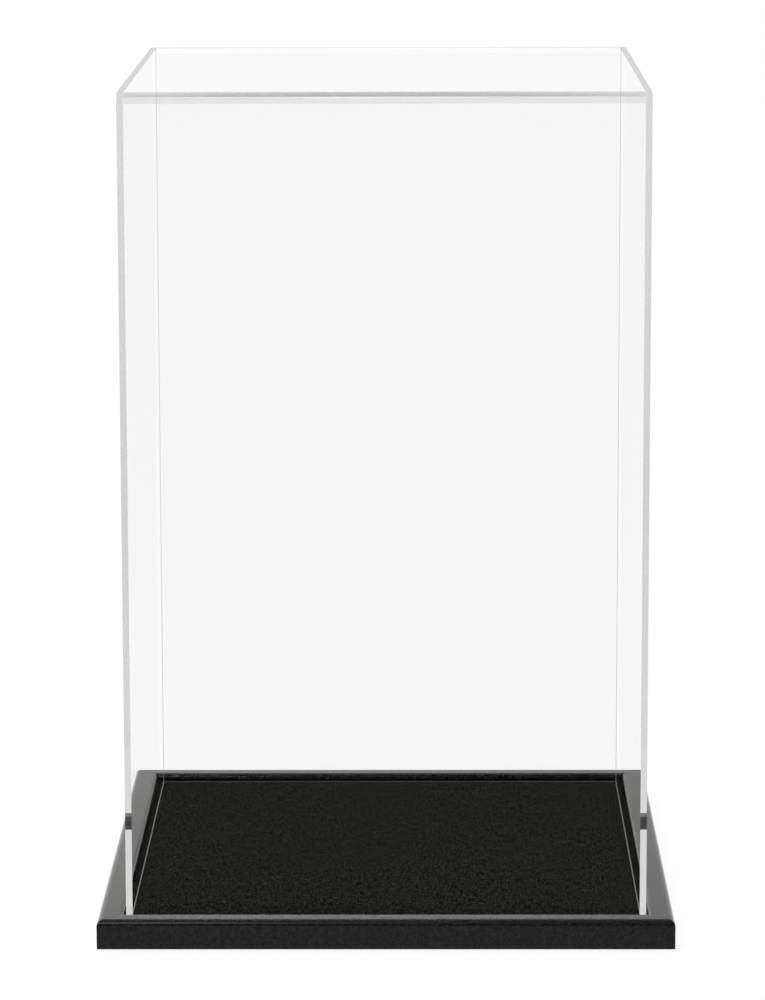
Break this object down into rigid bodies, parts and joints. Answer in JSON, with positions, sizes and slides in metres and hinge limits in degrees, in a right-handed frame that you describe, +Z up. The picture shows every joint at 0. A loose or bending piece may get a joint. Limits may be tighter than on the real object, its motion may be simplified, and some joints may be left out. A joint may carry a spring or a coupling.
{
  "type": "figure display case",
  "caption": "Tall clear acrylic cover, bent over the top, that drops inside the mitred rim of a black felt-lined base and lifts straight off.",
  "frame": {"origin": "middle of the footprint, on the surface that the pads stand on", "axes": "+Z up, front of the case towards -Y, +X to the right seen from the front"},
  "size_m": [0.2658, 0.2998, 0.3934],
  "materials": {
    "clear_acrylic": "clear polished sheet",
    "black_rail": "satin black film on fibreboard moulding",
    "board": "bare fibreboard",
    "black_felt": "short nap felt",
    "nail_steel": "bright strip",
    "pad_rubber": "foam rubber"
  },
  "bodies": {
    "base": {"front_rail": "black_rail", "back_rail": "black_rail", "left_rail": "black_rail", "right_rail": "black_rail", "corner_nails": "nail_steel", "base_board": "board", "felt_liner": "black_felt", "front_left_pad": "pad_rubber", "front_right_pad": "pad_rubber", "back_left_pad": "pad_rubber", "back_right_pad": "pad_rubber"},
    "cover": {"cover_wrap": "clear_acrylic", "left_side_panel": "clear_acrylic", "right_side_panel": "clear_acrylic"}
  },
  "joints": [
    {"name": "cover_lift", "type": "slide", "parent": "base", "child": "cover", "axis": [0, 0, 1], "range_m": [0, 0.4]}
  ]
}
